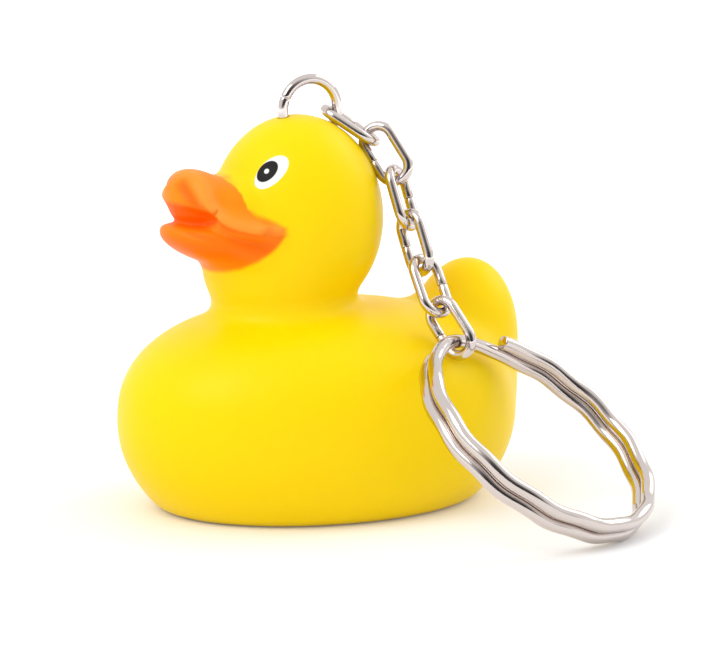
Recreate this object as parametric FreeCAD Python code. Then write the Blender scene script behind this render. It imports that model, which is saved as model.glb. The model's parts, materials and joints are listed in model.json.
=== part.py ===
import FreeCAD, Part
import math
import os

# Rubber-duck keychain, in millimetres.
# Frame: the origin is at the centre of the duck's flat base, +Z is up, the duck faces -Y and
# its left side is +X. A steel loop stands in the top of the head, six oval links run from it
# down the duck's left side, and a two-turn split ring leans there with its low side on the floor.

# ---- duck: driving sizes ----
BODY_LENGTH = 47.4
BODY_WIDTH = 36.4
WAIST_HEIGHT = 10.0          # height of the body's widest level
BACK_HEIGHT = 23.6           # top of the body under the neck
SHOULDER_POWER = 2.4         # 2 is an ellipse, more is squarer
BASE_SHARE = 0.78            # the flat base's share of the body's width and length
BASE_EDGE_RADIUS = 1.2
HEAD_WIDTH = 19.0
HEAD_HEIGHT = 23.0
HEAD_TOP = 44.2              # height of the crown above the floor
HEAD_FORWARD = 2.9           # the head's centre stands this far ahead of the body's
NECK_WIDTH = 15.0
NECK_FORWARD = 5.0
NECK_TOP = 29.0
NECK_FLARE = 2.6             # radius of the crease between neck and back
TAIL_WIDTH = 14.0
TAIL_LENGTH = 13.4
TAIL_HEIGHT = 22.0
TAIL_TOP = 27.0
TAIL_BACK = 17.4             # the tail's centre stands this far behind the body's
TAIL_LEAN = 8.0              # degrees, top of the tail to the rear
CHEEK_FORWARD = 6.2          # the cheeks' centre stands this far ahead of the body's
CHEEK_LEVEL = 27.5
CHEEK_HEIGHT = 13.0
WALL = 1.6                   # thickness of the moulded skin

# ---- beak ----
BEAK_WIDTH = 14.6
BEAK_REACH = 7.0             # from the front of the head to the beak's tip
BEAK_LEVEL = 32.4            # height of the mouth line at the tip
UPPER_BILL_WIDTH = 12.8
UPPER_BILL_THICKNESS = 5.4
UPPER_BILL_LIFT = 8.0        # degrees, tip upwards
LOWER_BILL_WIDTH = 11.7
LOWER_BILL_THICKNESS = 5.0
LOWER_BILL_LIFT = 16.0
LOWER_BILL_BACK = 0.6        # the lower bill's tip stands this far behind the upper's
BROW_LENGTH = 9.2            # the thick root of the beak on the face
BROW_HEIGHT = 6.8
BROW_LEVEL = 34.6
BROW_INSET = 1.0             # the brow's centre stands this far inside the face
BROW_LEAN = 20.0             # degrees, front downwards

# ---- squeaker in the base ----
SQUEAKER_DIAMETER = 10.4
SQUEAKER_NECK = 7.6
SQUEAKER_HEIGHT = 5.0
FLANGE_THICKNESS = 0.8
AIR_HOLE = 2.2
REED_THICKNESS = 0.2
REED_LEVEL = 3.5             # height of the reed's slot
REED_SLOT_LENGTH = 6.0

# ---- head loop ----
LOOP_OUTER = 8.0
LOOP_WIRE = 1.2
LOOP_BACK = 1.9              # the loop's centre stands this far behind the head's centre
LOOP_RISE = 0.5              # the loop's centre stands this far above the crown
LOOP_HOOK = 16.0             # degrees below level where the first link hooks the loop

# ---- chain ----
LINK_WIRE = 1.2
LINK_LENGTH = 7.95
LINK_WIDTH = 4.6

# ---- split ring ----
RING_OUTER = 30.0
RING_WIRE = 1.6
RING_HEADING = 31.0          # degrees from +X to the side where the ring touches the floor
RING_GRIP = 4.0             # degrees round the ring from its highest point to the last link
FIRST_END = 40.0             # degrees from the grip to the wire's end on the upper turn
SECOND_END = 22.0            # degrees from the grip to the wire's end on the lower turn

# ---- clearances ----
WIRE_GAP = 0.20              # between the wires of two linked pieces
HOLE_GAP = 0.08              # round the loop where it passes through the head
SEAT_GAP = 0.05              # round the squeaker in its hole

X = FreeCAD.Vector(1, 0, 0)
Y = FreeCAD.Vector(0, 1, 0)
Z = FreeCAD.Vector(0, 0, 1)
ORIGIN = FreeCAD.Vector(0, 0, 0)

head_centre = FreeCAD.Vector(0, -HEAD_FORWARD, HEAD_TOP - HEAD_HEIGHT / 2)
loop_radius = (LOOP_OUTER - LOOP_WIRE) / 2
loop_centre = FreeCAD.Vector(0, LOOP_BACK - HEAD_FORWARD, HEAD_TOP + LOOP_RISE)
link_inside = LINK_LENGTH - 2 * LINK_WIRE
link_pitch = link_inside - WIRE_GAP
bend_radius = (LINK_WIDTH - LINK_WIRE) / 2
straight = LINK_LENGTH - LINK_WIDTH
ring_radius = (RING_OUTER - RING_WIRE) / 2
turn_step = RING_WIRE + WIRE_GAP


# ---- helpers ----
def ellipsoid(centre, half_sizes, lean=0.0):
    """A sphere stretched to the three half sizes, leaning about X by some degrees."""
    stretch = FreeCAD.Matrix()
    stretch.scale(*half_sizes)
    shape = Part.makeSphere(1.0).transformGeometry(stretch)
    shape.rotate(ORIGIN, X, lean)
    shape.translate(centre)
    return shape


def body_form(inset):
    """The body as a turned form squeezed to its width; inset moves every side inwards."""
    half_width = BODY_WIDTH / 2 - inset
    half_length = BODY_LENGTH / 2 - inset
    rise = BACK_HEIGHT - WAIST_HEIGHT - inset
    floor = inset
    # The belly is part of an ellipse that meets the base at its share of the half length.
    drop = (WAIST_HEIGHT - floor) / math.sqrt(1 - BASE_SHARE ** 2)
    belly_angles = [math.acos(BASE_SHARE) * (1 - i / 6) for i in range(6)]
    belly = [(math.cos(a), WAIST_HEIGHT - drop * math.sin(a)) for a in belly_angles]
    power = 2 / SHOULDER_POWER
    shoulder_angles = [math.radians(90 * i / 9) for i in range(9)]
    shoulder = [
        (math.cos(a) ** power, WAIST_HEIGHT + rise * math.sin(a) ** power)
        for a in shoulder_angles
    ]
    points = [FreeCAD.Vector(half_length * r, 0, z) for r, z in belly + shoulder]
    top = FreeCAD.Vector(0, 0, WAIST_HEIGHT + rise)
    curve = Part.BSplineCurve()
    curve.interpolate(points + [top])
    start = FreeCAD.Vector(0, 0, floor)
    outline = Part.Wire([
        Part.makeLine(start, points[0]),
        curve.toShape(),
        Part.makeLine(top, start),
    ])
    form = Part.Face(outline).revolve(ORIGIN, Z, 360)
    if inset == 0:
        rim = [e for e in form.Edges if abs(e.BoundBox.ZMax) < 0.001 and e.BoundBox.XLength > 1]
        form = form.makeFillet(BASE_EDGE_RADIUS, rim)
    squeeze = FreeCAD.Matrix()
    squeeze.scale(half_width / half_length, 1, 1)
    return form.transformGeometry(squeeze)


def neck_form(inset):
    """A waist that flares out into the back; its top ends inside the head."""
    radius = NECK_WIDTH / 2 - inset
    flare = NECK_FLARE
    foot = BACK_HEIGHT - inset - flare
    low = WAIST_HEIGHT
    bend = math.sqrt(0.5)
    arc = Part.Arc(
        FreeCAD.Vector(radius + flare, 0, foot),
        FreeCAD.Vector(radius + flare * (1 - bend), 0, foot + flare * (1 - bend)),
        FreeCAD.Vector(radius, 0, foot + flare),
    )
    corners = [
        FreeCAD.Vector(radius, 0, foot + flare),
        FreeCAD.Vector(radius - flare / 2, 0, NECK_TOP),
        FreeCAD.Vector(0, 0, NECK_TOP),
        FreeCAD.Vector(0, 0, low),
        FreeCAD.Vector(radius, 0, low),
        FreeCAD.Vector(radius + flare, 0, foot),
    ]
    outline = Part.Wire([arc.toShape()] + Part.makePolygon(corners).Edges)
    neck = Part.Face(outline).revolve(ORIGIN, Z, 360)
    neck.translate(FreeCAD.Vector(0, -NECK_FORWARD, 0))
    return neck


def duck_form(inset):
    """Body, neck, cheeks, head and tail as one closed form."""
    head = ellipsoid(head_centre, [HEAD_WIDTH / 2 - inset] * 2 + [HEAD_HEIGHT / 2 - inset])
    cheeks = ellipsoid(
        FreeCAD.Vector(0, -CHEEK_FORWARD, CHEEK_LEVEL),
        [NECK_WIDTH / 2 - inset, NECK_WIDTH / 2 - inset, CHEEK_HEIGHT / 2 - inset],
    )
    tail = ellipsoid(
        FreeCAD.Vector(0, TAIL_BACK, TAIL_TOP - TAIL_HEIGHT / 2),
        [TAIL_WIDTH / 2 - inset, TAIL_LENGTH / 2 - inset, TAIL_HEIGHT / 2 - inset],
        -TAIL_LEAN,
    )
    form = body_form(inset).fuse([neck_form(inset), cheeks, head, tail])
    side = 2 * BODY_LENGTH
    under = Part.makeBox(side, side, side, FreeCAD.Vector(-side / 2, -side / 2, inset - side))
    return form.cut(under)


def beak_form():
    """Upper and lower bill, apart at the tip and joined at the root inside the head."""
    front = -HEAD_FORWARD - HEAD_WIDTH / 2
    half_reach = (BEAK_REACH + HEAD_WIDTH / 4) / 2
    centre_y = front - BEAK_REACH + half_reach
    upper = ellipsoid(
        FreeCAD.Vector(0, centre_y, BEAK_LEVEL + UPPER_BILL_THICKNESS / 2),
        [UPPER_BILL_WIDTH / 2, half_reach, UPPER_BILL_THICKNESS / 2],
        -UPPER_BILL_LIFT,
    )
    brow = ellipsoid(
        FreeCAD.Vector(0, front + BROW_INSET, BROW_LEVEL),
        [BEAK_WIDTH / 2, BROW_LENGTH / 2, BROW_HEIGHT / 2],
        BROW_LEAN,
    )
    lower = ellipsoid(
        FreeCAD.Vector(0, centre_y + LOWER_BILL_BACK, BEAK_LEVEL - LOWER_BILL_THICKNESS / 2),
        [LOWER_BILL_WIDTH / 2, half_reach, LOWER_BILL_THICKNESS / 2],
        -LOWER_BILL_LIFT,
    )
    return upper.fuse([brow, lower])


def place(shape, centre, along, across):
    """Turn a shape so that its X is along, its Y is nearest across, and move it to centre."""
    normal = along.cross(across).normalize()
    side = normal.cross(along).normalize()
    matrix = FreeCAD.Matrix(
        along.x, side.x, normal.x, centre.x,
        along.y, side.y, normal.y, centre.y,
        along.z, side.z, normal.z, centre.z,
        0, 0, 0, 1,
    )
    placed = shape.copy()
    placed.Placement = FreeCAD.Placement(matrix)
    return placed


def oval_link():
    """An oval link about its centre: long side on X, width on Y."""
    lengths = []
    for side in (-1, 1):
        start = FreeCAD.Vector(-straight / 2, side * bend_radius, 0)
        run = Part.makeCylinder(LINK_WIRE / 2, straight, start, X)
        bend = Part.makeTorus(bend_radius, LINK_WIRE / 2, ORIGIN, Z, 0, 360, 180)
        bend.rotate(ORIGIN, Z, -90 * side)
        bend.translate(FreeCAD.Vector(side * straight / 2, 0, 0))
        lengths += [run, bend]
    return lengths[0].fuse(lengths[1:]).removeSplitter()


# ---- where the chain hangs ----
def turned(vector, axis, degrees):
    return FreeCAD.Rotation(axis, degrees).multVec(vector)


def in_plane(vector, normal):
    """The unit direction of a vector laid into the plane with this normal."""
    return (vector - normal * vector.dot(normal)).normalize()


def link_directions():
    """Each link's long direction and width direction."""
    # A link's shares of the body's half width and half length give its way sideways and
    # backwards, and its drop follows from its length. The roll turns it about its own length.
    table = [
        (0.176, 0.138, -8), (0.150, 0.070, 72), (0.124, 0.018, -25),
        (0.126, 0.018, -90), (0.163, 0.010, -8), (0.180, 0.055, 84),
    ]
    directions = []
    for side, back, roll in table:
        along = FreeCAD.Vector(side * BODY_WIDTH / 2, back * BODY_LENGTH / 2, 0)
        along.z = -math.sqrt(link_pitch ** 2 - along.x ** 2 - along.y ** 2)
        along.normalize()
        level = Z.cross(along).normalize()
        directions.append((along, turned(level, along, roll)))
    return directions


def hang_chain(directions):
    """Each link's centre, hung from the loop, and the point that carries it."""
    hook = math.radians(LOOP_HOOK)
    spoke = FreeCAD.Vector(0, math.cos(hook), -math.sin(hook))
    carrier = loop_centre + spoke * loop_radius
    reach = (LOOP_WIRE + LINK_WIRE) / 2 + WIRE_GAP
    pull = directions[0][0]
    bend_side = pull * -1
    links = []
    for number, (along, across) in enumerate(directions):
        # The wire of this link's first bend lies against the carrier on its pulled side.
        normal = along.cross(across)
        start = carrier - pull * reach - in_plane(bend_side, normal) * bend_radius
        centre = start + along * (straight / 2)
        links.append((centre, along, across, carrier))
        if number + 1 < len(directions):
            following = directions[number + 1][0]
            end = centre + along * (straight / 2)
            carrier = end + in_plane(following, normal) * bend_radius
            pull = (along + following).normalize()
            bend_side = along * -1
            reach = LINK_WIRE + WIRE_GAP
    return links


# ---- the split ring's pose ----
def step_height(angle):
    """Height of the wire where it steps from the upper turn to the lower, at some degrees."""
    share = (SECOND_END - angle) / (FIRST_END + SECOND_END)
    return turn_step / 2 * math.cos(math.pi * share)


def ring_pose(hook, along):
    """Centre, axis and grip direction of the ring hung in the last link, resting on the floor."""
    reach = (LINK_WIRE + RING_WIRE) / 2 + WIRE_GAP
    out = FreeCAD.Vector(
        math.cos(math.radians(RING_HEADING)), math.sin(math.radians(RING_HEADING)), 0
    )
    grip = math.radians(RING_GRIP)

    def lowest(slope):
        high = out * -math.cos(slope) + Z * math.sin(slope)
        axis = out * math.sin(slope) + Z * math.cos(slope)
        sideways = high.cross(axis)
        spoke = high * math.cos(grip) + sideways * math.sin(grip)
        strand = axis.cross(spoke)
        pull = (along - strand * along.dot(strand)).normalize()
        centre = hook - pull * reach - spoke * ring_radius - axis * step_height(0)
        bottom = centre.z - ring_radius * math.sin(slope)
        bottom -= RING_WIRE / 2 + turn_step / 2 * math.cos(slope)
        return bottom, centre, axis, spoke

    low, high = 0.0, math.pi / 2
    for _ in range(60):
        middle = (low + high) / 2
        if lowest(middle)[0] > 0:
            low = middle
        else:
            high = middle
    return lowest(low)[1:]


def split_ring_form():
    """Two turns of round wire about Z, one on the other; local X points at the grip."""
    upper = turn_segment(-FIRST_END, SECOND_END - 360, turn_step / 2)
    lower = turn_segment(-FIRST_END, SECOND_END - 360, -turn_step / 2)
    steps = 8
    step_angle = (FIRST_END + SECOND_END) / steps
    sections = []
    for i in range(steps + 1):
        degrees = SECOND_END - i * step_angle
        angle = math.radians(degrees)
        climb = (step_height(degrees - 0.1) - step_height(degrees + 0.1)) / math.radians(0.2)
        spot = FreeCAD.Vector(math.cos(angle), math.sin(angle), 0) * ring_radius
        spot.z = step_height(degrees)
        tangent = FreeCAD.Vector(math.sin(angle), -math.cos(angle), 0) * ring_radius
        tangent.z = climb if 0 < i < steps else 0
        sections.append(Part.Wire(Part.makeCircle(RING_WIRE / 2, spot, tangent)))
    step_over = Part.makeLoft(sections, True, False)
    return upper, lower, step_over


def turn_segment(start, end, height):
    """Part of a turn, from one angle to another in degrees, at a height."""
    section = Part.Face(Part.Wire(Part.makeCircle(
        RING_WIRE / 2, FreeCAD.Vector(ring_radius, 0, height), Y
    )))
    section.rotate(ORIGIN, Z, start)
    return section.revolve(ORIGIN, Z, end - start)


# ---- the pieces ----
def make_duck():
    outer = duck_form(0).fuse(beak_form())
    shell = outer.cut(duck_form(WALL))
    channel = Part.makeTorus(loop_radius, LOOP_WIRE / 2 + HOLE_GAP)
    channel = place(channel, loop_centre, Y, Z)
    seat = Part.makeCylinder(SQUEAKER_DIAMETER / 2 + SEAT_GAP, FLANGE_THICKNESS)
    hole = Part.makeCylinder(SQUEAKER_NECK / 2 + SEAT_GAP, 2 * WALL)
    return shell.cut([channel, seat, hole])


def make_squeaker():
    """A flanged plug with an air hole along it and a slot for the reed across the hole."""
    flange = Part.makeCylinder(SQUEAKER_DIAMETER / 2, FLANGE_THICKNESS)
    stem = Part.makeCylinder(SQUEAKER_NECK / 2, SQUEAKER_HEIGHT)
    bore = Part.makeCylinder(AIR_HOLE / 2, SQUEAKER_HEIGHT)
    corner = FreeCAD.Vector(-REED_SLOT_LENGTH / 2, -AIR_HOLE / 2, REED_LEVEL)
    height = REED_THICKNESS + 2 * SEAT_GAP
    slot = Part.makeBox(REED_SLOT_LENGTH, AIR_HOLE, height, corner)
    return flange.fuse(stem).cut([bore, slot])


def make_reed():
    length = REED_SLOT_LENGTH - 2 * SEAT_GAP
    width = AIR_HOLE - 2 * SEAT_GAP
    corner = FreeCAD.Vector(-length / 2, -width / 2, REED_LEVEL + SEAT_GAP)
    return Part.makeBox(length, width, REED_THICKNESS, corner)


links = hang_chain(link_directions())
pieces = {
    "duck_body": make_duck(),
    "squeaker_housing": make_squeaker(),
    "squeaker_reed": make_reed(),
    "head_loop": place(Part.makeTorus(loop_radius, LOOP_WIRE / 2), loop_centre, Y, Z),
}
for number, (centre, along, across, carrier) in enumerate(links, 1):
    pieces["chain_link_%d" % number] = place(oval_link(), centre, along, across)
last_centre, last_along = links[-1][:2]
last_hook = last_centre + last_along * (straight / 2 + bend_radius)
ring_centre, ring_axis, ring_spoke = ring_pose(last_hook, last_along)
turns = split_ring_form()
ring = turns[0].fuse(turns[1:])
pieces["split_ring"] = place(ring, ring_centre, ring_spoke, ring_axis.cross(ring_spoke))

os.makedirs("parts", exist_ok=True)
for name, shape in pieces.items():
    shape.exportStep("parts/%s.step" % name)
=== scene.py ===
# %% [markdown]
# # Rubber duck keychain
# A hollow vinyl duck hangs from a loop, six oval links and a split key ring. The CAD model gives
# every piece its place and its joint. This lesson dresses it: a soft duck with painted beak and
# eyes, bright plated wire, and a white studio round them. Sizes are written in millimetres and
# turned into metres where a mesh is finished.

import json
from math import cos, radians, sin, sqrt

import bmesh
import bpy
import numpy as np
from mathutils import Matrix, Vector


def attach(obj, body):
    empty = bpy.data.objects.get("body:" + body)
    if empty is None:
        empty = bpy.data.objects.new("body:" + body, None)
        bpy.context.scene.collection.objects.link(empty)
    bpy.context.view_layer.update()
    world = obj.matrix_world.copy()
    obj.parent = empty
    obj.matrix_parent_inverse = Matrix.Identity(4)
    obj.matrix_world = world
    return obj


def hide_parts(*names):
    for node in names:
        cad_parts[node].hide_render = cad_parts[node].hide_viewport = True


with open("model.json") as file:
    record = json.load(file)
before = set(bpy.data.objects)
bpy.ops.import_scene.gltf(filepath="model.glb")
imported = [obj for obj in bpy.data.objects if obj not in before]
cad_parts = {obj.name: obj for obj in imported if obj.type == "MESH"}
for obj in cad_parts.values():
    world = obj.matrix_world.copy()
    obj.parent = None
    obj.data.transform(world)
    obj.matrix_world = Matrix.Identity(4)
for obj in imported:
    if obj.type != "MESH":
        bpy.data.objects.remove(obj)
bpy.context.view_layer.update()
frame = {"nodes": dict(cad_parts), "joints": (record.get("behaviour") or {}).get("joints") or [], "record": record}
MM = 0.001
print("CAD pieces:", sorted(frame["nodes"]))

# %% [markdown]
# ## Camera
# The duck is seen from its left side and a little from the front, slightly from above. A long
# lens, far away, keeps the ring from looking larger than the head.

# %% Camera
CAMERA_PLACE = Vector((364.4, -188.8, 91.4)) * MM
CAMERA_TURN, CAMERA_RISE = radians(-28), radians(10)
SENSOR_WIDTH, LENS = 36.0, 185.3

TOWARDS_CAMERA = Vector((
    cos(CAMERA_RISE) * cos(CAMERA_TURN), cos(CAMERA_RISE) * sin(CAMERA_TURN), sin(CAMERA_RISE),
))
CAMERA_RIGHT = Vector((-sin(CAMERA_TURN), cos(CAMERA_TURN), 0.0))
CAMERA_UP = TOWARDS_CAMERA.cross(CAMERA_RIGHT)

camera_data = bpy.data.cameras.new("studio_camera")
camera_data.sensor_width = SENSOR_WIDTH
camera_data.lens = LENS
camera = bpy.data.objects.new("studio_camera", camera_data)
turn = Matrix((CAMERA_RIGHT, CAMERA_UP, TOWARDS_CAMERA)).transposed().to_4x4()
camera.matrix_world = Matrix.Translation(CAMERA_PLACE) @ turn
bpy.context.collection.objects.link(camera)
bpy.context.scene.camera = camera
print("camera at", [round(v, 3) for v in camera.location])


# %% [markdown]
# ## Small helpers
# A mesh made with bmesh becomes an object here. The mesh is scaled from millimetres to metres as
# it is finished, so the object itself stays at the origin, unturned and unscaled.

# %% Helpers for meshes and materials
def finish_mesh(bm, name, place=None, smooth=True):
    """Turn a bmesh in millimetres into an object in metres, with its place in its mesh."""
    bmesh.ops.recalc_face_normals(bm, faces=bm.faces)
    if place is not None:
        bmesh.ops.transform(bm, matrix=place, verts=bm.verts)
    bmesh.ops.scale(bm, vec=(MM, MM, MM), verts=bm.verts)
    mesh = bpy.data.meshes.new(name)
    bm.to_mesh(mesh)
    bm.free()
    if smooth:
        mesh.shade_smooth()
    piece = bpy.data.objects.new(name, mesh)
    bpy.context.collection.objects.link(piece)
    return piece


def new_material(name):
    """A material with a Principled shader, and the tools to add nodes to it."""
    material = bpy.data.materials.new(name)
    material.use_nodes = True
    tree = material.node_tree
    return material, tree, tree.nodes["Principled BSDF"]


def add_node(tree, kind, **values):
    """A new node, with its own settings."""
    node = tree.nodes.new(kind)
    for key, value in values.items():
        setattr(node, key, value)
    return node


def set_inputs(node, values):
    """Give plain values to some of a node's inputs."""
    for name, value in values.items():
        node.inputs[name].default_value = value


def dress(piece, material):
    """Give a piece one material."""
    piece.data.materials.clear()
    piece.data.materials.append(material)
    return piece


def once(things):
    """The things in their order, each only once."""
    return list(dict.fromkeys(things))


def named(things, name):
    """The one of the frame's joints or mounts that has this name."""
    return next(thing for thing in things if thing["name"] == name)


# %% [markdown]
# ## White studio
# The keychain stands on a white sweep. The floor is plain white, and it gets a little extra for
# the camera only, so that it fades into the background but keeps the soft shadow. The world is
# white to the camera. A dark patch of room behind the camera gives the chrome its dark streaks.

# %% Floor
FLOOR_SIZE = 3.0
FLOOR_WHITE = (0.88, 0.88, 0.88, 1)
# extra brightness for the camera: this much near the duck, and full white far away, in metres
FLOOR_LIFT = 0.10
NEAR_FLOOR, FAR_FLOOR = 0.10, 0.60

bm = bmesh.new()
bmesh.ops.create_grid(bm, x_segments=1, y_segments=1, size=FLOOR_SIZE / MM)
floor = finish_mesh(bm, "studio_floor", smooth=False)
floor_material, tree, shader = new_material("white_sweep")
set_inputs(shader, {"Base Color": FLOOR_WHITE, "Roughness": 0.6, "Specular IOR Level": 0.2})
glow = add_node(tree, "ShaderNodeEmission")
path = add_node(tree, "ShaderNodeLightPath")
seen = add_node(tree, "ShaderNodeMath", operation="MAXIMUM")
place = add_node(tree, "ShaderNodeTexCoord")
away = add_node(tree, "ShaderNodeVectorMath", operation="LENGTH")
fade = add_node(tree, "ShaderNodeMapRange", interpolation_type="SMOOTHSTEP")
set_inputs(fade, {"From Min": NEAR_FLOOR, "From Max": FAR_FLOOR, "To Min": FLOOR_LIFT, "To Max": 1.0})
lift = add_node(tree, "ShaderNodeMath", operation="MULTIPLY")
both = add_node(tree, "ShaderNodeAddShader")
tree.links.new(place.outputs["Object"], away.inputs[0])
tree.links.new(away.outputs["Value"], fade.inputs["Value"])
tree.links.new(fade.outputs["Result"], lift.inputs[1])
tree.links.new(path.outputs["Is Camera Ray"], seen.inputs[0])
tree.links.new(path.outputs["Is Glossy Ray"], seen.inputs[1])
tree.links.new(seen.outputs[0], lift.inputs[0])
tree.links.new(lift.outputs[0], glow.inputs["Strength"])
tree.links.new(shader.outputs[0], both.inputs[0])
tree.links.new(glow.outputs[0], both.inputs[1])
tree.links.new(both.outputs[0], tree.nodes["Material Output"].inputs["Surface"])
dress(floor, floor_material)
print("floor reaches", FLOOR_SIZE, "m each way")

# %% World
ROOM_LIGHT = 0.90
# the dark patch: its direction, its light, and the cosines at its edge and at its core
DARK_WAY = Vector((0.93, -0.34, 0.12)).normalized()
DARK_LIGHT = 0.05
DARK_EDGE, DARK_CORE = 0.52, 0.97

world = bpy.data.worlds.new("studio")
bpy.context.scene.world = world
world.use_nodes = True
tree = world.node_tree
background = tree.nodes["Background"]
path = add_node(tree, "ShaderNodeLightPath")
direction = add_node(tree, "ShaderNodeTexCoord")
facing = add_node(tree, "ShaderNodeVectorMath", operation="DOT_PRODUCT")
facing.inputs[1].default_value = DARK_WAY
dark = add_node(tree, "ShaderNodeMapRange", interpolation_type="SMOOTHSTEP")
set_inputs(dark, {"From Min": DARK_EDGE, "From Max": DARK_CORE, "To Min": 1.0, "To Max": DARK_LIGHT})
room = add_node(tree, "ShaderNodeMix", data_type="FLOAT")
room.inputs["A"].default_value = ROOM_LIGHT
whole = add_node(tree, "ShaderNodeMix", data_type="FLOAT")
whole.inputs["B"].default_value = 1.0
tree.links.new(direction.outputs["Generated"], facing.inputs[0])
tree.links.new(facing.outputs["Value"], dark.inputs["Value"])
tree.links.new(path.outputs["Is Glossy Ray"], room.inputs["Factor"])
tree.links.new(dark.outputs["Result"], room.inputs["B"])
tree.links.new(path.outputs["Is Camera Ray"], whole.inputs["Factor"])
tree.links.new(room.outputs["Result"], whole.inputs["A"])
tree.links.new(whole.outputs["Result"], background.inputs["Strength"])
background.inputs["Color"].default_value = (1, 1, 1, 1)
print("world light", ROOM_LIGHT)


# %% Lamps
DUCK_MIDDLE = Vector((0, 0, 0.02))


def softbox(name, place, size, power):
    """A square soft light that points at the duck's middle."""
    data = bpy.data.lights.new(name, "AREA")
    data.shape = "SQUARE"
    data.size = size
    data.energy = power
    lamp = bpy.data.objects.new(name, data)
    lamp.location = place
    aim = DUCK_MIDDLE - place
    lamp.rotation_euler = aim.to_track_quat("-Z", "Y").to_euler()
    bpy.context.collection.objects.link(lamp)
    return lamp


# each softbox: metres towards the camera, to its right and up, then its size and its power
SOFTBOXES = {
    "key_softbox": (0.35, -0.38, 0.50, 0.45, 2.1),
    "back_softbox": (-0.25, 0.45, 0.45, 0.40, 0.9),
}
for name, (towards, right, up, size, power) in SOFTBOXES.items():
    softbox(name, TOWARDS_CAMERA * towards + CAMERA_RIGHT * right + Vector((0, 0, up)), size, power)
bpy.context.scene.view_settings.view_transform = "Standard"
print("softboxes:", list(SOFTBOXES))

# %% [markdown]
# ## The duck's shape
# The real duck is one vinyl moulding, blown in a mould with round, melted-together forms. Blobs
# joined by a soft union say exactly that: each blob is a distance, and where two distances are
# close the union rounds the corner. The same distances then tell where the beak's paint ends.

# %% Sizes of the duck, in millimetres
BODY_HALF_WIDTH, BODY_HALF_LENGTH = 18.2, 23.7
# the body is widest at the waist, and its base is this share of that width
WAIST, BACK, BASE_SHARE, SHOULDER_POWER = 10.0, 23.0, 0.79, 2.45
# each blob: centre, half sizes, lean about X in degrees
HEAD = ((0, -2.7, 32.7), (9.6, 9.75, 11.5), 0)
CHEEKS = ((0, -6.2, 27.5), (7.5, 7.5, 6.5), 0)
TAIL = ((0, 18.3, 15.6), (7.0, 6.6, 10.9), -10)
FOREHEAD = ((0, -11.6, 35.3), (5.6, 4.6, 2.6), -6)
BILL_TIP = ((0, -15.6, 35.5), (4.7, 3.15, 3.3), 0)
BILL_CORE = ((0, -10.9, 32.7), (7.7, 6.3, 2.7), -16)
LOWER_BILL = ((0, -12.6, 30.4), (6.2, 6.7, 2.5), -15)
CHIN = ((0, -10.2, 29.4), (7.0, 4.6, 2.6), -18)
MOUTH = ((0, -17.0, 33.9), (6.3, 3.4, 1.3), -8)
# the mouth is shallower in the middle, where the two bills almost meet
MOUTH_DEPTH, MIDDLE_SHARE = 1.0, 0.3
GROOVE_DEPTH, GROOVE_WIDTH = 0.42, 0.5
LIP_DEPTH, LIP_WIDTH = 0.3, 0.4
RIM_RADIUS = 0.6
NECK = [(0, -4.7, 14.0), (0, -4.7, 27.0)]
NECK_RADIUS = 7.3
# lines on the left side of the beak, from the tip to the corner
RIM = [
    (0, -16.2, 38.0), (2.5, -16.2, 37.6), (4.1, -16.2, 36.4), (4.7, -15.8, 35.1),
    (5.3, -15.2, 34.1), (6.2, -14.2, 33.2), (7.1, -12.8, 32.8), (7.8, -11.2, 32.5),
    (8.0, -9.2, 32.2),
]
RIM_GROOVE = [
    (1.8, -17.9, 37.6), (3.6, -17.7, 36.2), (4.6, -16.9, 34.6), (5.9, -15.2, 32.9),
    (7.4, -13.0, 31.9), (8.2, -9.1, 31.4),
]
LIP_LINE = [
    (3.2, -18.2, 32.6), (4.9, -16.6, 32.0), (6.5, -14.4, 31.3), (7.5, -12.2, 30.7),
    (7.9, -9.3, 30.1),
]


# %% Distances and soft unions
TINY = 1e-9  # keeps a division away from zero


def blob(points, shape):
    """Distance from points to an ellipsoid, negative inside."""
    centre, half, lean = np.array(shape[0]), np.array(shape[1]), radians(shape[2])
    q = points - centre
    y = q[:, 1] * cos(lean) + q[:, 2] * sin(lean)
    z = -q[:, 1] * sin(lean) + q[:, 2] * cos(lean)
    q = np.stack([q[:, 0], y, z], 1)
    near = np.linalg.norm(q / half, axis=1) + TINY
    return near * (near - 1) / (np.linalg.norm(q / half ** 2, axis=1) + TINY)


def mirrored(points):
    """The points with the right side folded onto the left."""
    folded = points.copy()
    folded[:, 0] = np.abs(folded[:, 0])
    return folded


def rounded(spots):
    """A line of spots with its corners cut twice, so that it bends softly."""
    spots = np.array(spots, float)
    for _ in range(2):
        near = spots[:-1] * 0.75 + spots[1:] * 0.25
        far = spots[:-1] * 0.25 + spots[1:] * 0.75
        inner = np.stack([near, far], 1).reshape(-1, 3)
        spots = np.vstack([spots[:1], inner[1:-1], spots[-1:]])
    return spots


def strand(points, spots, radius):
    """Distance to a round cord through the spots, on both sides of the head."""
    q = mirrored(points)
    best = np.full(len(q), np.inf)
    for start, end in zip(spots[:-1], spots[1:]):
        run = end - start
        share = np.clip((q - start) @ run / (run @ run), 0, 1)
        best = np.minimum(best, np.linalg.norm(q - start - share[:, None] * run, axis=1))
    return best - radius


def join(a, b, soft):
    """Union of two distances with a fillet about as wide as soft."""
    share = np.clip(0.5 + 0.5 * (b - a) / soft, 0, 1)
    return b + (a - b) * share - soft * share * (1 - share)


def smooth_step(values, low, high):
    """Zero below low, one above high, and a soft rise between them."""
    share = np.clip((values - low) / (high - low), 0, 1)
    return share * share * (3 - 2 * share)


def near_line(points, spots, width):
    """One on a line through the spots, fading to zero over about the width."""
    return np.exp(-(strand(points, spots, 0.0) / width) ** 2)


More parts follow.
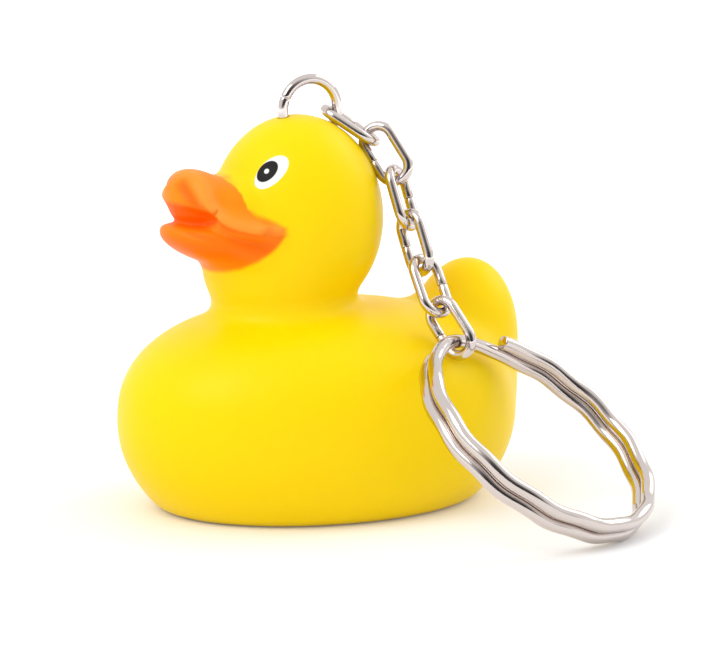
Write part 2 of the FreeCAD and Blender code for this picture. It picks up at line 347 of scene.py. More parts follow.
rim_line = rounded(RIM)
groove_line = rounded(RIM_GROOVE)
lip_line = rounded(LIP_LINE)
neck_line = np.array(NECK)
print("beak lines have", len(rim_line), len(groove_line), len(lip_line), "spots")


# %% Body, beak and whole duck
# the beak is worked out only in front of this place and between these heights
FACE_BACK, FACE_FOOT, FACE_TOP = -4.0, 25.0, 40.5
FAR_AWAY = 5.0
LEAST_STEEP = 0.2  # keeps a point from leaping where the distance hardly changes


def body_distance(p):
    """A flattened egg: an ellipse below the waist, a squarer shoulder above it."""
    drop = WAIST / sqrt(1 - BASE_SHARE ** 2)
    upper = p[:, 2] > WAIST
    power = np.where(upper, SHOULDER_POWER, 2.0)
    rise = np.where(upper, BACK - WAIST, drop)
    height = np.abs(p[:, 2] - WAIST) / rise
    r = np.hypot(p[:, 0] / BODY_HALF_WIDTH, p[:, 1] / BODY_HALF_LENGTH) + TINY
    total = (r ** power + height ** power) ** (1 / power)
    reach = np.hypot(p[:, 0] / BODY_HALF_WIDTH ** 2, p[:, 1] / BODY_HALF_LENGTH ** 2)
    slope_out = (r / total) ** (power - 1) * reach / r
    slope_up = (height / total) ** (power - 1) / rise
    return (total - 1) / (np.hypot(slope_out, slope_up) + TINY)


def beak_form(p):
    """Upper bill with a bulb at its tip and a rolled rim, lower bill, grooves and mouth."""
    upper = join(blob(p, FOREHEAD), blob(p, BILL_TIP), soft=1.2)
    upper = join(upper, blob(p, BILL_CORE), soft=1.4)
    upper = join(upper, strand(p, rim_line, RIM_RADIUS), soft=0.7)
    lower = join(blob(p, LOWER_BILL), blob(p, CHIN), soft=1.2)
    whole = join(upper, lower, soft=0.5)
    whole += GROOVE_DEPTH * near_line(p, groove_line, GROOVE_WIDTH)
    whole += LIP_DEPTH * near_line(p, lip_line, LIP_WIDTH)
    beside_the_middle = smooth_step(np.abs(p[:, 0]), low=0.5, high=3.5)
    depth = MOUTH_DEPTH * (MIDDLE_SHARE + (1 - MIDDLE_SHARE) * beside_the_middle)
    return whole + depth * smooth_step(-blob(p, MOUTH), low=-0.7, high=0.9)


def beak_distance(p):
    """The beak's distance near the face, and a large one elsewhere to save time."""
    near = (p[:, 1] < FACE_BACK) & (p[:, 2] > FACE_FOOT) & (p[:, 2] < FACE_TOP)
    result = np.full(len(p), FAR_AWAY)
    if near.any():
        result[near] = beak_form(p[near])
    return result


def duck_distance(p):
    """The whole duck, cut off flat at its base with a rounded edge."""
    trunk = join(body_distance(p), blob(p, TAIL), soft=2.6)
    top = join(blob(p, HEAD), blob(p, CHEEKS), soft=2.0)
    top = join(top, strand(p, neck_line, NECK_RADIUS), soft=2.0)
    whole = join(trunk, top, soft=2.4)
    whole = join(whole, beak_distance(p), soft=1.2)
    return -join(-whole, p[:, 2], soft=1.0)


def duck_step(p, step=0.01):
    """How far each point has to move to reach the skin, as a vector."""
    here = duck_distance(p)
    slope = np.stack([duck_distance(p + step * axis) - here for axis in np.eye(3)], 1) / step
    steep = np.maximum((slope * slope).sum(1), LEAST_STEEP)
    return -slope * (here / steep)[:, None]


middle_distance = float(duck_distance(np.array([[0.0, 0.0, WAIST]]))[0])
print("the body's middle lies", round(-middle_distance, 1), "mm under the skin")


# %% [markdown]
# ## The duck's mesh
# Round lumps are put together with bmesh and melted into one skin with a voxel Remesh modifier.
# Then each vertex slides along the shape's slope until its distance is zero, like a sculptor's
# snap brush. The snapped skin is melted once more, which evens out its faces, the beak gets finer
# ones, and a last snap gives back the crisp rim and grooves that the voxels lost.

# %% Lumps for the remesh
VOXEL = 0.42
BASE_CUT = 0.1
TRUNK = ((0, 0, WAIST), (BODY_HALF_WIDTH, BODY_HALF_LENGTH, BACK - WAIST), 0)
NECK_LUMP = ((0, -5.0, 24.0), (NECK_RADIUS + 0.4, NECK_RADIUS + 0.4, 9.0), 0)
ROUND_LUMPS = (HEAD, CHEEKS, TAIL, FOREHEAD, BILL_TIP, BILL_CORE, LOWER_BILL, CHIN)


def add_lump(bm, shape):
    """An ellipsoid lump, from a sphere that is stretched, leaned and moved."""
    centre, half, lean = shape
    made = bmesh.ops.create_icosphere(bm, subdivisions=5, radius=1.0)["verts"]
    bmesh.ops.scale(bm, vec=half, verts=made)
    bmesh.ops.rotate(bm, cent=(0, 0, 0), matrix=Matrix.Rotation(radians(lean), 3, "X"),
                     verts=made)
    bmesh.ops.translate(bm, vec=centre, verts=made)


bm = bmesh.new()
for lump in (TRUNK, *ROUND_LUMPS, NECK_LUMP):
    add_lump(bm, lump)
cut = bmesh.ops.bisect_plane(bm, geom=bm.verts[:] + bm.edges[:] + bm.faces[:],
                             plane_co=(0, 0, BASE_CUT), plane_no=(0, 0, -1), clear_outer=True)
rim_edges = [g for g in cut["geom_cut"] if isinstance(g, bmesh.types.BMEdge)]
bmesh.ops.edgeloop_fill(bm, edges=rim_edges)
duck = finish_mesh(bm, "duck_moulding")


def apply_modifiers(piece):
    """Give a piece the mesh that its modifiers make, and take them off."""
    graph = bpy.context.evaluated_depsgraph_get()
    made = bpy.data.meshes.new_from_object(piece.evaluated_get(graph))
    piece.modifiers.clear()
    piece.data = made


def melt(piece):
    """Melt a piece's surface into one even skin of small square faces."""
    remesh = piece.modifiers.new("melt_together", "REMESH")
    remesh.mode = "VOXEL"
    remesh.voxel_size = VOXEL * MM
    apply_modifiers(piece)


melt(duck)
print("melted duck has", len(duck.data.vertices), "vertices")


# %% Snap the skin to the shape
def relax(bm, verts, rounds):
    """Smooth the points and put them back on the shape; returns the largest miss left, in mm."""
    for smoothing, reach in rounds:
        if smoothing > 0:
            bmesh.ops.smooth_vert(bm, verts=verts, factor=smoothing,
                                  use_axis_x=True, use_axis_y=True, use_axis_z=True)
        spots = np.array([vert.co for vert in verts]) / MM
        spots += np.clip(duck_step(spots), -reach, reach)
        for vert, spot in zip(verts, spots * MM):
            vert.co = spot
    return round(float(np.abs(duck_distance(spots)).max()), 3)


# each round: how far to smooth, and how far in millimetres a point may move
ROUGH_ROUNDS = [(0.5, 0.5)] * 9 + [(0.0, 0.3)] * 2
SKIN_ROUNDS = [(0.5, 0.3)] * 3 + [(0.3, 0.2)] * 3 + [(0.0, 0.1)] * 2
BEAK_ROUNDS = [(0.5, 0.2)] * 8 + [(0.2, 0.1)] * 3 + [(0.0, 0.1)] * 3

bm = bmesh.new()
bm.from_mesh(duck.data)
rough_miss = relax(bm, bm.verts[:], ROUGH_ROUNDS)
bm.to_mesh(duck.data)
bm.free()
melt(duck)
print("first skin missed by", rough_miss, "mm; the second has", len(duck.data.vertices), "vertices")


# %% Finer faces on the beak, and the last snap
def on_the_beak(place, back, foot, top=40.0):
    """Whether a place in metres is before the back, above the foot and below the top."""
    return place.y < back * MM and foot * MM < place.z < top * MM


bm = bmesh.new()
bm.from_mesh(duck.data)
beak_faces = [face for face in bm.faces if on_the_beak(face.calc_center_median(), -8.2, 26.5)]
beak_edges = once(edge for face in beak_faces for edge in face.edges)
bmesh.ops.subdivide_edges(bm, edges=beak_edges, cuts=1, use_grid_fill=True)
miss = relax(bm, bm.verts[:], SKIN_ROUNDS)
beak_verts = [vert for vert in bm.verts if on_the_beak(vert.co, -8.0, 26.0)]
beak_miss = relax(bm, beak_verts, BEAK_ROUNDS)
print("largest miss of skin and beak, mm:", miss, beak_miss)
bmesh.ops.recalc_face_normals(bm, faces=bm.faces)
bm.to_mesh(duck.data)
bm.free()
duck.data.update()
duck.data.shade_smooth()

# %% [markdown]
# ## Holes for the squeaker and the loop
# The base has a stepped hole that holds the squeaker, and the crown has a curved channel in which
# the loop turns. A Boolean modifier cuts both with cutters that bmesh makes by spinning a profile.

# %% Cutters
LOOP_CENTRE = Vector(named(frame["joints"], "loop_turn")["pos_m"]) / MM
LOOP_RADIUS, LOOP_WIRE = 3.4, 0.6
CHANNEL_GAP = 0.1
SEAT_RADIUS, SEAT_DEPTH, HOLE_RADIUS, HOLE_DEPTH = 5.25, 0.8, 3.85, 6.0
BELOW_THE_BASE = -1.0
MERGE_REACH = 1e-4


def spun_profile(bm, spots, steps=64):
    """Spin a profile of (radius, height) spots about Z into a closed form."""
    verts = [bm.verts.new((r, 0, z)) for r, z in spots]
    edges = [bm.edges.new(pair) for pair in zip(verts[:-1], verts[1:])]
    bmesh.ops.spin(bm, geom=verts + edges, cent=(0, 0, 0), axis=(0, 0, 1),
                   angle=radians(360), steps=steps, use_merge=True)
    bmesh.ops.remove_doubles(bm, verts=bm.verts, dist=MERGE_REACH)


def closed_ring(bm, ring_radius, wire_radius, steps=96, segments=24):
    """A round ring about Z, spun from a circle."""
    turned = Matrix.Translation((ring_radius, 0, 0)) @ Matrix.Rotation(radians(90), 4, "X")
    made = bmesh.ops.create_circle(bm, segments=segments, radius=wire_radius, matrix=turned)
    edges = once(edge for vert in made["verts"] for edge in vert.link_edges)
    bmesh.ops.spin(bm, geom=made["verts"] + edges, cent=(0, 0, 0), axis=(0, 0, 1),
                   angle=radians(360), steps=steps, use_merge=True)
    bmesh.ops.remove_doubles(bm, verts=bm.verts, dist=MERGE_REACH)


bm = bmesh.new()
spun_profile(bm, [
    (0, BELOW_THE_BASE), (SEAT_RADIUS, BELOW_THE_BASE), (SEAT_RADIUS, SEAT_DEPTH),
    (HOLE_RADIUS, SEAT_DEPTH), (HOLE_RADIUS, HOLE_DEPTH), (0, HOLE_DEPTH),
])
seat_cutter = finish_mesh(bm, "seat_cutter", smooth=False)
bm = bmesh.new()
closed_ring(bm, LOOP_RADIUS, LOOP_WIRE + CHANNEL_GAP)
on_end = Matrix.Translation(LOOP_CENTRE) @ Matrix.Rotation(radians(90), 4, "Y")
channel_cutter = finish_mesh(bm, "channel_cutter", place=on_end)
print("cutters for a seat", SEAT_DEPTH, "mm deep and a hole", HOLE_DEPTH, "mm deep")

# %% Cut the holes
for cutter in (seat_cutter, channel_cutter):
    cut = duck.modifiers.new(cutter.name, "BOOLEAN")
    cut.operation = "DIFFERENCE"
    cut.solver = "EXACT"
    cut.object = cutter
apply_modifiers(duck)
for cutter in (seat_cutter, channel_cutter):
    bpy.data.objects.remove(cutter)
print("carved duck has", len(duck.data.vertices), "vertices")

# %% [markdown]
# ## The beak's paint
# The beak is sprayed orange through a mask, so its edge is a little soft. The amount of paint is
# stored on each vertex: it ends on a line that runs round the head, high in front and low at the
# corners of the mouth. A second value is painted shade, a deeper red where shade falls: low on the
# beak, in the grooves and in the mouth. A third is a painted highlight, a paler orange on the rim.

# %% Paint stored on the vertices
SPRAY_SOFTNESS = 0.35
TOP_ANGLES = [9, 22, 30, 34, 39, 46, 52.5, 57]
PAINT_TOP = [37.9, 37.1, 35.6, 34.8, 34.2, 33.7, 33.2, 32.7]
FOOT_ANGLES = [6, 17, 29, 40, 44.5, 50, 53.5, 57]
PAINT_FOOT = [27.4, 27.6, 28.1, 29.0, 29.6, 30.4, 31.1, 32.0]
# the angles are measured round this place, from straight ahead
PAINT_AXIS = -2.9
# the bulb of the beak stands clear of the head, and its paint reaches this much higher
BULB_RAISE = 4.0


def vertex_spots(mesh):
    """The places of a mesh's vertices in millimetres, one row each."""
    spots = np.zeros(len(mesh.vertices) * 3)
    mesh.vertices.foreach_get("co", spots)
    return spots.reshape(-1, 3) / MM


skin = vertex_spots(duck.data)
angle = np.degrees(np.arctan2(np.abs(skin[:, 0]), PAINT_AXIS - skin[:, 1]))
off_the_head = smooth_step(blob(skin, HEAD), 1.3, 2.0)
top_edge = np.interp(angle, TOP_ANGLES, PAINT_TOP) + BULB_RAISE * off_the_head
foot_edge = np.interp(angle, FOOT_ANGLES, PAINT_FOOT)
corner = (TOP_ANGLES[-1] - angle) * radians(1) * HEAD[1][1]
margin = np.minimum(np.minimum(top_edge - skin[:, 2], skin[:, 2] - foot_edge), corner)
paint = smooth_step(margin, -SPRAY_SOFTNESS, SPRAY_SOFTNESS)
print("painted vertices:", int((paint > 0.5).sum()))

# %% Painted shade and painted highlight on the beak
# shade is painted low on the beak between these heights, at this share of its strength in the mouth and the
# grooves
SHADE_FOOT, SHADE_TOP = (27.5, 30.0), (30.5, 34.0)
LOW_SHADE_SHARE = 0.6
# how far the painted shade spreads from the grooves and the painted highlight from the rim
GROOVE_SHADE, LIP_SHADE, RIM_HIGHLIGHT = 0.7, 0.5, 0.9  # widths in millimetres

# painted shade, a deeper red where shade falls: low on the beak, in the mouth and in the grooves
low_down = smooth_step(skin[:, 2], *SHADE_FOOT) * (1 - smooth_step(skin[:, 2], *SHADE_TOP))
in_the_mouth = 1 - smooth_step(blob(skin, MOUTH), -0.3, 0.5)
in_a_groove = np.maximum(
    near_line(skin, groove_line, GROOVE_SHADE), near_line(skin, lip_line, LIP_SHADE),
)
shade = np.maximum(np.maximum(LOW_SHADE_SHARE * low_down, in_the_mouth), in_a_groove)
# painted highlight: a paler orange along the rim, kept out of the grooves and the mouth
rim_highlight = near_line(skin, rim_line, RIM_HIGHLIGHT) * (1 - in_a_groove) * (1 - in_the_mouth)
for name, values in (("beak_paint", paint), ("beak_painted_shade", shade), ("beak_painted_highlight", rim_highlight)):
    layer = duck.data.attributes.new(name, "FLOAT", "POINT")
    layer.data.foreach_set("value", values.astype(np.float32))
    print(name, "is strong on", int((values > 0.5).sum()), "vertices")

# %% [markdown]
# ## A shared effect: soft wear
# Handling leaves the same faint, cloudy change of gloss on the vinyl and on the plated wire. It
# is a node group with a noise on Object coordinates, and it puts out a roughness and a height.

# %% Node group for soft wear
BUMP_DISTANCE = 0.1 * MM

soft_wear = bpy.data.node_groups.new("soft_wear", "ShaderNodeTree")
for name, start in (("Size", 300.0), ("Smooth", 0.3), ("Rough", 0.45)):
    socket = soft_wear.interface.new_socket(name, in_out="INPUT", socket_type="NodeSocketFloat")
    socket.default_value = start
soft_wear.interface.new_socket("Roughness", in_out="OUTPUT", socket_type="NodeSocketFloat")
soft_wear.interface.new_socket("Height", in_out="OUTPUT", socket_type="NodeSocketFloat")
given = soft_wear.nodes.new("NodeGroupInput")
put_out = soft_wear.nodes.new("NodeGroupOutput")
spot = soft_wear.nodes.new("ShaderNodeTexCoord")
clouds = soft_wear.nodes.new("ShaderNodeTexNoise")
clouds.inputs["Detail"].default_value = 3.0
spread = soft_wear.nodes.new("ShaderNodeMapRange")
set_inputs(spread, {"From Min": 0.3, "From Max": 0.7})
soft_wear.links.new(spot.outputs["Object"], clouds.inputs["Vector"])
soft_wear.links.new(given.outputs["Size"], clouds.inputs["Scale"])
soft_wear.links.new(clouds.outputs["Fac"], spread.inputs["Value"])
soft_wear.links.new(given.outputs["Smooth"], spread.inputs["To Min"])
soft_wear.links.new(given.outputs["Rough"], spread.inputs["To Max"])
soft_wear.links.new(spread.outputs["Result"], put_out.inputs["Roughness"])
soft_wear.links.new(clouds.outputs["Fac"], put_out.inputs["Height"])


def add_wear(tree, shader, size, smooth, rough, depth):
    """Feed a shader's roughness and a faint bump from the shared group."""
    wear = add_node(tree, "ShaderNodeGroup", node_tree=soft_wear)
    set_inputs(wear, {"Size": size, "Smooth": smooth, "Rough": rough})
    bump = add_node(tree, "ShaderNodeBump")
    set_inputs(bump, {"Strength": depth, "Distance": BUMP_DISTANCE})
    tree.links.new(wear.outputs["Roughness"], shader.inputs["Roughness"])
    tree.links.new(wear.outputs["Height"], bump.inputs["Height"])
    tree.links.new(bump.outputs["Normal"], shader.inputs["Normal"])


print("soft wear has", len(soft_wear.nodes), "nodes")

# %% [markdown]
# ## Vinyl, beak paint and printed eyes
# Soft vinyl lets some light in, so it has a little subsurface scattering. The eyes are pad prints
# with sharp edges: a white oval, a black oval in it and a white dot. Each is an ellipse in the
# plane that touches the head there, and the right eye is the left one mirrored.

# %% Vinyl with its paint
BARE_DEPTH, PAINTED_DEPTH = 0.35, 0.10  # how much light goes into bare and painted vinyl
VINYL_YELLOW = (0.985, 0.672, 0.0, 1)
BEAK_ORANGE = (0.985, 0.25, 0.004, 1)
# a deeper red painted in as shade, and a paler orange painted in as a highlight
BEAK_SHADE_RED = (0.97, 0.125, 0.0, 1)
BEAK_HIGHLIGHT = (1.0, 0.36, 0.06, 1)

vinyl, tree, shader = new_material("yellow_vinyl")
set_inputs(shader, {
    "Subsurface Radius": (1.0, 0.55, 0.08),
    "Subsurface Scale": 2.2 * MM,
    "Specular IOR Level": 0.12,
})
add_wear(tree, shader, size=260.0, smooth=0.34, rough=0.44, depth=0.06)


def mix_colour(tree, factor, first, second):
    """Mix two colours, each a socket or a plain value."""
    mix = add_node(tree, "ShaderNodeMix", data_type="RGBA")
    tree.links.new(factor, mix.inputs["Factor"])
    for socket, value in ((mix.inputs["A"], first), (mix.inputs["B"], second)):
        if isinstance(value, tuple):
            socket.default_value = value
        else:
            tree.links.new(value, socket)
    return mix.outputs["Result"]


paint_node = add_node(tree, "ShaderNodeAttribute", attribute_name="beak_paint")
shade_node = add_node(tree, "ShaderNodeAttribute", attribute_name="beak_painted_shade")
highlight_node = add_node(tree, "ShaderNodeAttribute", attribute_name="beak_painted_highlight")
# painted shade: the orange turns a deeper red where the beak lies in shade
orange = mix_colour(tree, shade_node.outputs["Fac"], BEAK_ORANGE, BEAK_SHADE_RED)
# painted highlight: the rim turns a paler orange
orange = mix_colour(tree, highlight_node.outputs["Fac"], orange, BEAK_HIGHLIGHT)
colour = mix_colour(tree, paint_node.outputs["Fac"], VINYL_YELLOW, orange)
# paint is less see-through than the bare vinyl
depth = add_node(tree, "ShaderNodeMapRange")
set_inputs(depth, {"To Min": BARE_DEPTH, "To Max": PAINTED_DEPTH})
tree.links.new(paint_node.outputs["Fac"], depth.inputs["Value"])
tree.links.new(depth.outputs["Result"], shader.inputs["Subsurface Weight"])
print("vinyl has", len(tree.nodes), "nodes before the eyes")

# %% Printed eyes
EYE_CENTRE = Vector((5.63, -8.76, 38.70)) * MM
EYE_OUT = Vector((0.620, -0.645, 0.448)).normalized()
EYE_SIDE = Vector((0.721, 0.693, 0.0)).normalized()
EYE_UP = EYE_OUT.cross(EYE_SIDE)
EYE_TILT = radians(51)
# each print: long half size, short half size, shift sideways, shift up, colour
EYE_PRINTS = [
    (2.32, 1.40, 0.0, 0.08, (0.92, 0.92, 0.90, 1)),
    (1.42, 1.00, -0.47, 0.12, (0.006, 0.004, 0.005, 1)),
    (0.30, 0.28, -0.54, 0.12, (0.85, 0.86, 0.88, 1)),
]
PRINT_EDGE = 0.04
PRINT_REACH = 3.0  # how far in front of and behind the plane a print still shows

coordinate = add_node(tree, "ShaderNodeTexCoord")
parts = add_node(tree, "ShaderNodeSeparateXYZ")
fold = add_node(tree, "ShaderNodeMath", operation="ABSOLUTE")
folded = add_node(tree, "ShaderNodeCombineXYZ")
tree.links.new(coordinate.outputs["Object"], parts.inputs[0])
tree.links.new(parts.outputs["X"], fold.inputs[0])
tree.links.new(fold.outputs[0], folded.inputs["X"])
tree.links.new(parts.outputs["Y"], folded.inputs["Y"])
tree.links.new(parts.outputs["Z"], folded.inputs["Z"])


def ellipse_mask(tree, point, long_half, short_half, side, up):
    """One inside an ellipse on the plane of the eye, zero outside, with a thin soft edge."""
    centre = EYE_CENTRE + (EYE_SIDE * side + EYE_UP * up) * MM
    long_way = EYE_SIDE * cos(EYE_TILT) + EYE_UP * sin(EYE_TILT)
    short_way = EYE_UP * cos(EYE_TILT) - EYE_SIDE * sin(EYE_TILT)
    shifted = add_node(tree, "ShaderNodeVectorMath", operation="SUBTRACT")
    shifted.inputs[1].default_value = centre
    tree.links.new(point, shifted.inputs[0])
    plane = add_node(tree, "ShaderNodeCombineXYZ")
    for axis, half, name in ((long_way, long_half, "X"), (short_way, short_half, "Y"),
                             (EYE_OUT, PRINT_REACH, "Z")):
        along = add_node(tree, "ShaderNodeVectorMath", operation="DOT_PRODUCT")
        along.inputs[1].default_value = axis / (half * MM)
        tree.links.new(shifted.outputs[0], along.inputs[0])
        tree.links.new(along.outputs["Value"], plane.inputs[name])
    reach = add_node(tree, "ShaderNodeVectorMath", operation="LENGTH")
    edge = add_node(tree, "ShaderNodeMapRange", interpolation_type="SMOOTHSTEP")
    soft = PRINT_EDGE / short_half
    set_inputs(edge, {"From Min": 1 - soft, "From Max": 1 + soft, "To Min": 1.0, "To Max": 0.0})
    tree.links.new(plane.outputs[0], reach.inputs[0])
    tree.links.new(reach.outputs["Value"], edge.inputs["Value"])
    return edge.outputs["Result"]


for long_half, short_half, side, up, print_colour in EYE_PRINTS:
    mask = ellipse_mask(tree, folded.outputs[0], long_half, short_half, side, up)
    colour = mix_colour(tree, mask, colour, print_colour)
tree.links.new(colour, shader.inputs["Base Color"])
dress(duck, vinyl)
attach(duck, "duck")
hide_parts("duck_body")
print("prints on each eye:", len(EYE_PRINTS))

# %% [markdown]
# ## Squeaker
# A plain moulded plug with its reed closes the base. The CAD pieces are the right shape, and they
# only need their plastics.

# %% Squeaker plastics
PLUG_WHITE = (0.80, 0.80, 0.76, 1)
REED_GREY = (0.62, 0.65, 0.70, 1)

plug_plastic, tree, shader = new_material("squeaker_plastic")
set_inputs(shader, {"Base Color": PLUG_WHITE, "Specular IOR Level": 0.4})
add_wear(tree, shader, size=600.0, smooth=0.45, rough=0.6, depth=0.1)
dress(frame["nodes"]["squeaker_housing"], plug_plastic)
reed_plastic, tree, shader = new_material("reed_plastic")
set_inputs(shader, {"Base Color": REED_GREY, "Roughness": 0.3})
dress(frame["nodes"]["squeaker_reed"], reed_plastic)
print("squeaker plastics:", plug_plastic.name, "and", reed_plastic.name)

# %% [markdown]
# ## Plated wire
# Loop, links and key ring are bent from steel wire with a bright nickel plate. The plate mirrors
# the room, with a faint cloudiness where it has rubbed.

# %% Bright plate
NICKEL = (0.65, 0.58, 0.55, 1)

bright_plate, tree, shader = new_material("plated_steel")
set_inputs(shader, {"Base Color": NICKEL, "Metallic": 1.0})
add_wear(tree, shader, size=900.0, smooth=0.07, rough=0.16, depth=0.12)
print("plate has", len(tree.nodes), "nodes")

# %% [markdown]
# ## Bending wire with spin
# A link is made as a chain machine makes it: a circle is pushed along a straight, spun round a
# bend, and so on until both ends meet in the middle of one side, where a hair line stays open.

# %% Wire bending tools
WIRE_SEGMENTS = 24
END_ROUNDING = 0.12  # of the wire's radius


def wire_start(bm, radius, spot):
    """A circle of wire at a spot, facing along X."""
    turned = Matrix.Translation(spot) @ Matrix.Rotation(radians(90), 4, "Y")
    made = bmesh.ops.create_circle(bm, segments=WIRE_SEGMENTS, radius=radius, matrix=turned)
    return made["verts"] + once(edge for vert in made["verts"] for edge in vert.link_edges)


def push(bm, end, way, steps=2):
    """Push the wire's end straight on."""
    for _ in range(steps):
        edges = [g for g in end if isinstance(g, bmesh.types.BMEdge)]
        made = bmesh.ops.extrude_edge_only(bm, edges=edges)["geom"]
        verts = [g for g in made if isinstance(g, bmesh.types.BMVert)]
        inside = set(verts)
        bmesh.ops.translate(bm, vec=Vector(way) / steps, verts=verts)
        end = verts + [g for g in made if isinstance(g, bmesh.types.BMEdge)
                       and g.verts[0] in inside and g.verts[1] in inside]
    return end


def bend(bm, end, centre, axis, degrees, steps):
    """Spin the wire's end round a bend."""
    return bmesh.ops.spin(bm, geom=end, cent=centre, axis=axis, angle=radians(degrees),
                          steps=steps, use_merge=False, use_duplicate=False)["geom_last"]


def cap(bm, radius):
    """Close the wire's two open ends, with a small round edge on each."""
    edges = [e for e in bm.edges if e.is_boundary]
    faces = bmesh.ops.edgeloop_fill(bm, edges=edges)["faces"]
    ring_edges = once(edge for face in faces for edge in face.edges)
    bmesh.ops.bevel(bm, geom=ring_edges, offset=radius * END_ROUNDING, segments=2, profile=0.5,
                    affect="EDGES", material=-1)


# %% [markdown]
# ## Chain links
# Each CAD link is measured rather than written down again: its middle and its long and wide
# directions come from the spread of its vertices. The visual link is laid on those directions.

# %% Six links
# a hair smaller than in the CAD, so that swinging links stay clear; the wire is its radius
LINK_LENGTH, LINK_WIDTH, LINK_WIRE = 7.93, 4.58, 0.585
SEAM = 0.05
BEND_STEPS = 18


def measured_place(node):
    """Middle and directions (long, wide, thin) of a CAD piece, as a matrix in millimetres."""
    spots = vertex_spots(frame["nodes"][node].data)
    middle = (spots.max(0) + spots.min(0)) / 2
    _, ways = np.linalg.eigh(np.cov((spots - spots.mean(0)).T))
    long_way, wide_way = ways[:, 2], ways[:, 1]
    if long_way[2] > 0:
        long_way = -long_way
    if wide_way[0] < 0:
        wide_way = -wide_way
    thin_way = np.cross(long_way, wide_way)
    matrix = Matrix((long_way, wide_way, thin_way)).transposed().to_4x4()
    return Matrix.Translation(middle) @ matrix


def bent_link(name, place):
    """An oval link, long side on X, wide side on Y, open by a hair on one side."""
    bend_radius = LINK_WIDTH / 2 - LINK_WIRE
    straight = LINK_LENGTH - LINK_WIDTH
    bm = bmesh.new()
    end = wire_start(bm, LINK_WIRE, (SEAM / 2, -bend_radius, 0))
    end = push(bm, end, (straight / 2 - SEAM / 2, 0, 0))
    end = bend(bm, end, (straight / 2, 0, 0), (0, 0, 1), 180, BEND_STEPS)
    end = push(bm, end, (-straight, 0, 0), steps=4)
    end = bend(bm, end, (-straight / 2, 0, 0), (0, 0, 1), 180, BEND_STEPS)
    push(bm, end, (straight / 2 - SEAM / 2, 0, 0))
    cap(bm, LINK_WIRE)
    return dress(finish_mesh(bm, name, place=place), bright_plate)


for number in range(1, 7):
    node = "chain_link_%d" % number
    link = bent_link("bent_link_%d" % number, measured_place(node))
    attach(link, "link_%d" % number)
    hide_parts(node)
    print(node, "has", len(link.data.vertices), "vertices")

# %% [markdown]
# ## Head loop
# The loop is one turn of the same wire. Its ends meet on the side towards the beak, above the
# crown, and the rest goes through the head in its channel.

# %% Loop
LOOP_SEAM_ANGLE = 156.0
LOOP_SEAM = 1.2  # degrees left open
LOOP_STEPS = 72

bm = bmesh.new()
end = wire_start(bm, LOOP_WIRE, (0, -LOOP_RADIUS, 0))
bend(bm, end, (0, 0, 0), (0, 0, 1), 360 - LOOP_SEAM, LOOP_STEPS)
cap(bm, LOOP_WIRE)
# local X becomes +Y and local Y becomes +Z, then the seam is turned to its place
stand_up = Matrix(((0, 0, 1, 0), (1, 0, 0, 0), (0, 1, 0, 0), (0, 0, 0, 1)))
seam_turn = Matrix.Rotation(radians(LOOP_SEAM_ANGLE + 90), 4, "Z")
loop = finish_mesh(bm, "bent_loop", place=Matrix.Translation(LOOP_CENTRE) @ stand_up @ seam_turn)
dress(loop, bright_plate)
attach(loop, "loop")
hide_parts("head_loop")
print("loop has", len(loop.data.vertices), "vertices")

# %% [markdown]
# ## Split ring
# The key ring is one long wire in two turns, one on the other. A spin makes both turns at once,
# and the vertices are then moved as one would sculpt them: up on the first turn, down on the
# second, across in one step at the link, and with the small waves this ring is rolled with.

# %% Place of the ring, from the frame
key_ring = named(frame["record"]["mounts"], "key_ring")
RING_CENTRE = Vector(key_ring["pos_m"]) / MM
RING_AXIS = Vector(key_ring["axis"]).normalized()
# the spoke points from the centre to the wire that link 6 holds
to_the_link = Vector(named(frame["joints"], "ring_swing")["pos_m"]) / MM - RING_CENTRE
RING_SPOKE = (to_the_link - RING_AXIS * to_the_link.dot(RING_AXIS)).normalized()
print("ring's spoke:", [round(v, 4) for v in RING_SPOKE])

# %% Two turns of wire
RING_RADIUS, RING_WIRE = 14.2, 0.8
RING_STEPS = 470
# degrees from the spoke to the start of the first turn and to the end of the second
FIRST_END, SECOND_END = 28.0, 22.0

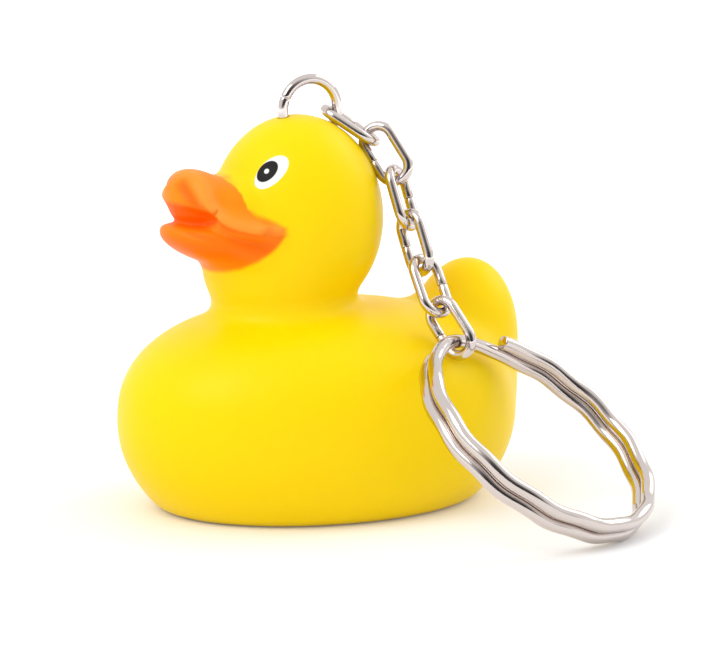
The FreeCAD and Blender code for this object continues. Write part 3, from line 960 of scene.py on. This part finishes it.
sweep = 720.0 - FIRST_END - SECOND_END
bm = bmesh.new()
start_turn = Matrix.Rotation(radians(-FIRST_END), 4, "Z")
on_the_spoke = Matrix.Translation((RING_RADIUS, 0, 0)) @ Matrix.Rotation(radians(90), 4, "X")
made = bmesh.ops.create_circle(bm, segments=WIRE_SEGMENTS, radius=RING_WIRE,
                               matrix=start_turn @ on_the_spoke)
end = made["verts"] + once(edge for vert in made["verts"] for edge in vert.link_edges)
bmesh.ops.spin(bm, geom=end, cent=(0, 0, 0), axis=(0, 0, 1), angle=radians(-sweep),
               steps=RING_STEPS, use_merge=False, use_duplicate=False)
print("the wire sweeps", sweep, "degrees in", RING_STEPS, "steps")

# %% Step and waves
TURN_HEIGHT = 0.86
# the step starts this many degrees before the spoke and ends this many after it
STEP_START, STEP_END = 22.0, 40.0
WAVES, WAVE_HEIGHT, WAVE_IN = 14, 0.11, 0.04
# the waves are still near the link, and grow over the next degrees
CALM_HALF, CALM_FADE = 24, 30
# where the ring touches the table, in degrees from the spoke
LOWEST = 176.0

for index, vert in enumerate(bm.verts):
    turned = sweep * (index // WIRE_SEGMENTS) / RING_STEPS
    angle = -FIRST_END - turned
    share = (turned - (360 - FIRST_END - STEP_START)) / (STEP_START + STEP_END)
    share = min(max(share, 0.0), 1.0)
    height = TURN_HEIGHT * cos(radians(180) * share)
    round_angle = (angle + 180) % 360 - 180
    strength = min(max((abs(round_angle) - CALM_HALF) / CALM_FADE, 0.0), 1.0)
    phase = radians(WAVES * (round_angle - LOWEST))
    height += strength * WAVE_HEIGHT * cos(phase)
    out = strength * WAVE_IN * sin(phase)
    vert.co += Vector((cos(radians(angle)), sin(radians(angle)), 0)) * out
    vert.co.z += height
cap(bm, RING_WIRE)
side = RING_AXIS.cross(RING_SPOKE)
ring_place = Matrix((RING_SPOKE, side, RING_AXIS)).transposed().to_4x4()
ring = finish_mesh(bm, "wavy_split_ring", place=Matrix.Translation(RING_CENTRE) @ ring_place)
dress(ring, bright_plate)
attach(ring, "ring")
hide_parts("split_ring")
print("ring has", len(ring.data.vertices), "vertices")
